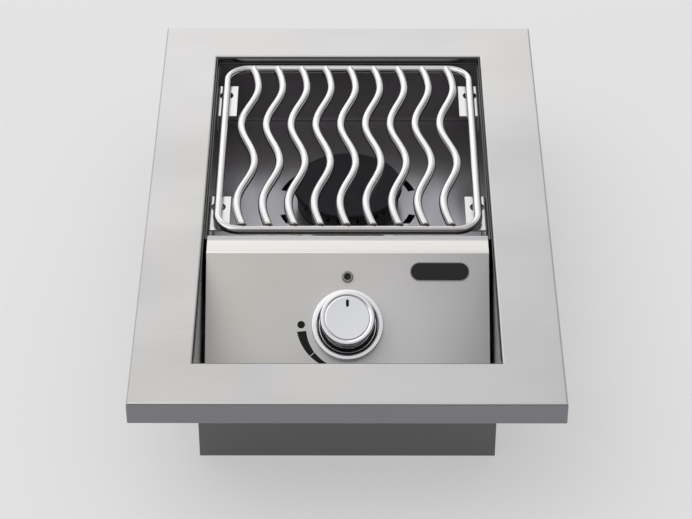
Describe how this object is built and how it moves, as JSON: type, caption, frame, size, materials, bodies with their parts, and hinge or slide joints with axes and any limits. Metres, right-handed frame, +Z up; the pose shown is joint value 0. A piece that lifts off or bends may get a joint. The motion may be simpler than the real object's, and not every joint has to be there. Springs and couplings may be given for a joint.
{
  "type": "built-in side burner",
  "caption": "Drop-in gas side burner for an outdoor kitchen: steel trim frame, wave-rod pan grate, round burner in a well, and a sloped panel with knob and push igniter.",
  "frame": {"origin": "centre of the underside of the burner box, below the middle of the trim frame", "axes": "+X right, +Y towards the rear (gas inlet side), +Z up"},
  "size_m": [0.3556, 0.5588, 0.128],
  "materials": {
    "brushed_steel": "brushed stainless sheet, grain along each rail",
    "shell_steel": "mill-finish stainless sheet",
    "polished_steel": "bright annealed stainless sheet, near mirror",
    "rod_steel": "electropolished stainless rod with heat-tinted welds",
    "chrome": "bright chrome plate",
    "satin_chrome": "satin chrome, fine circular grain",
    "black_enamel": "matt black enamel",
    "cast_aluminium": "as cast, dulled by heat",
    "black_plastic": "satin black moulding",
    "dark_nickel": "dull dark nickel plate",
    "brass": "machined brass",
    "white_ceramic": "glazed white ceramic"
  },
  "bodies": {
    "base": {"trim_frame": "brushed_steel", "burner_box": "shell_steel", "burner_pan": "polished_steel", "control_panel": "brushed_steel", "grate_bracket_rear_left": "rod_steel", "grate_bracket_rear_right": "rod_steel", "grate_bracket_front_left": "rod_steel", "grate_bracket_front_right": "rod_steel", "burner_head": "cast_aluminium", "mixer_tube": "cast_aluminium", "burner_stand": "shell_steel", "orifice_holder": "brass", "valve_bonnet": "cast_aluminium", "valve_body": "cast_aluminium", "bezel_ring": "chrome", "bezel_liner": "black_plastic", "igniter_ring": "dark_nickel", "igniter_switch": "black_plastic", "spark_module": "black_plastic", "electrode_insulator": "white_ceramic", "electrode_clip": "shell_steel", "electrode_wire": "shell_steel", "supply_tube": "shell_steel", "supply_nut_valve": "brass", "supply_nut_inlet": "brass", "gas_inlet": "brass", "inlet_lock_nut": "brass", "feed_tube": "shell_steel", "feed_nut_valve": "brass"},
    "grate": {"grate_frame": "rod_steel", "grate_rod_1": "rod_steel", "grate_rod_2": "rod_steel", "grate_rod_3": "rod_steel", "grate_rod_4": "rod_steel", "grate_rod_5": "rod_steel", "grate_rod_6": "rod_steel", "grate_rod_7": "rod_steel", "grate_rod_8": "rod_steel", "grate_rod_9": "rod_steel"},
    "cap": {"burner_cap": "black_enamel"},
    "knob_carrier": {"thrust_washer": "shell_steel"},
    "knob": {"knob_shell": "chrome", "knob_face": "satin_chrome", "valve_stem": "brass"},
    "igniter": {"igniter_button": "black_plastic"},
    "shutter": {"air_shutter": "shell_steel"}
  },
  "joints": [
    {"name": "grate_lift", "type": "slide", "parent": "base", "child": "grate", "axis": [0, 0, 1], "range_m": [0, 0.06]},
    {"name": "cap_lift", "type": "slide", "parent": "base", "child": "cap", "axis": [0, 0, 1], "range_m": [0, 0.035]},
    {"name": "knob_push", "type": "slide", "parent": "base", "child": "knob_carrier", "axis": [0, 0.6432, -0.7657], "range_m": [0, 0.003], "stiffness_N_per_m": 900, "springref_m": -0.004},
    {"name": "knob_turn", "type": "hinge", "parent": "knob_carrier", "child": "knob", "pos_m": [0, -0.12635, 0.08287], "axis": [0, -0.6432, 0.7657], "range_deg": [0, 180]},
    {"name": "igniter_press", "type": "slide", "parent": "base", "child": "igniter", "axis": [0, 0.6432, -0.7657], "range_m": [0, 0.0015], "stiffness_N_per_m": 500, "springref_m": -0.002},
    {"name": "shutter_turn", "type": "hinge", "parent": "base", "child": "shutter", "pos_m": [0, -0.0094, 0.02675], "axis": [0, 1, 0], "range_deg": [0, 70]}
  ]
}
